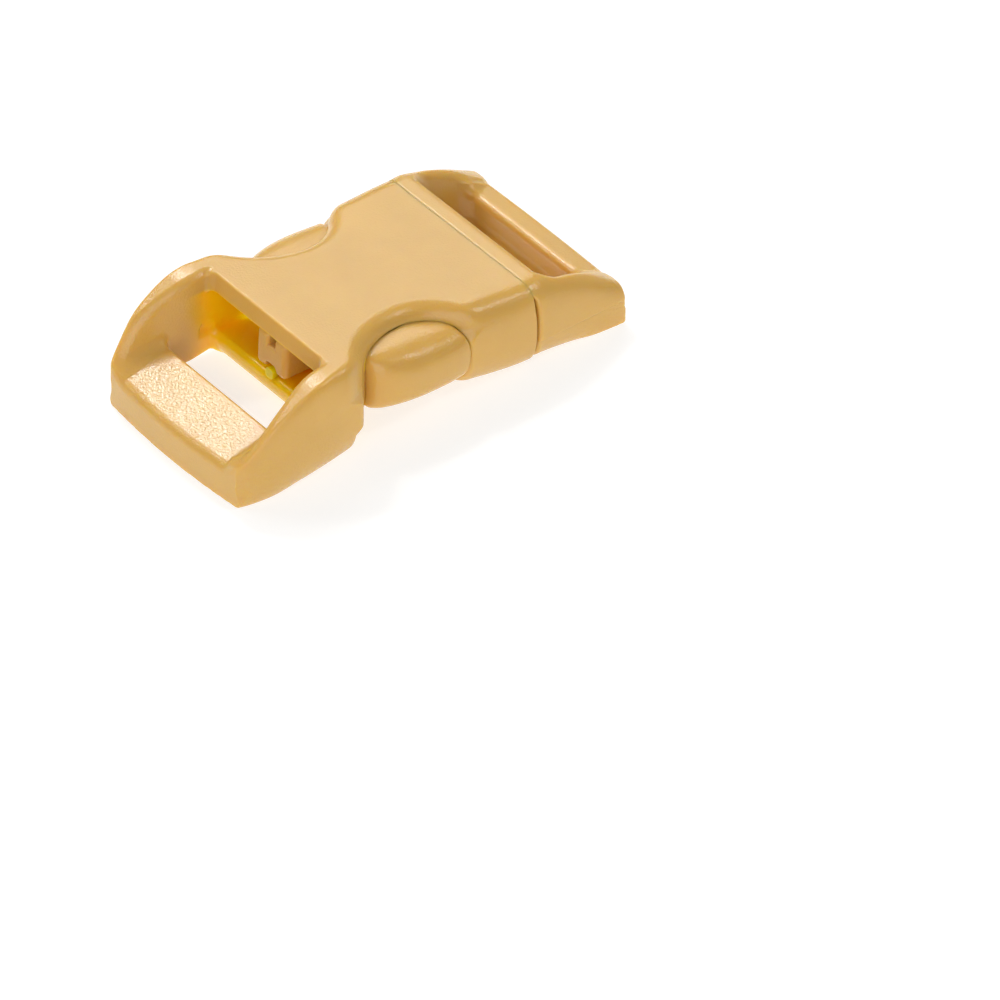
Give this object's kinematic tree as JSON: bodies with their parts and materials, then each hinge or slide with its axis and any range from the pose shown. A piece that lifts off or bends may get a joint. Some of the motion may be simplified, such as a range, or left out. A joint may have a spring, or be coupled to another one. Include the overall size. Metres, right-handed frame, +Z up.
{
  "type": "side release buckle",
  "caption": "Contoured side release buckle, fastened: an arched housing with a webbing bar, and a plug with a centre tongue and sprung arms that show in the side windows.",
  "frame": {"origin": "middle of the buckle's length and width, on the surface it rests on", "axes": "+X along the webbing from the housing's tail bar to the plug's end bar, +Y across towards the left arm, +Z up from the surface"},
  "size_m": [0.043, 0.0222, 0.0104],
  "materials": {
    "moulded_acetal": "satin moulded"
  },
  "bodies": {
    "buckle": {"housing": "moulded_acetal", "plug_frame": "moulded_acetal"},
    "arm_left": {"release_arm_left": "moulded_acetal"},
    "arm_right": {"release_arm_right": "moulded_acetal"}
  },
  "joints": [
    {"name": "squeeze_left", "type": "hinge", "parent": "buckle", "child": "arm_left", "pos_m": [0.0089, 0.008, 0.00473], "axis": [0.0601, 0, 0.9982], "range_deg": [0, 12], "stiffness_Nm_per_rad": 0.5},
    {"name": "squeeze_right", "type": "hinge", "parent": "buckle", "child": "arm_right", "pos_m": [0.0089, -0.008, 0.00473], "axis": [-0.0601, 0, -0.9982], "range_deg": [0, 12], "stiffness_Nm_per_rad": 0.5}
  ]
}
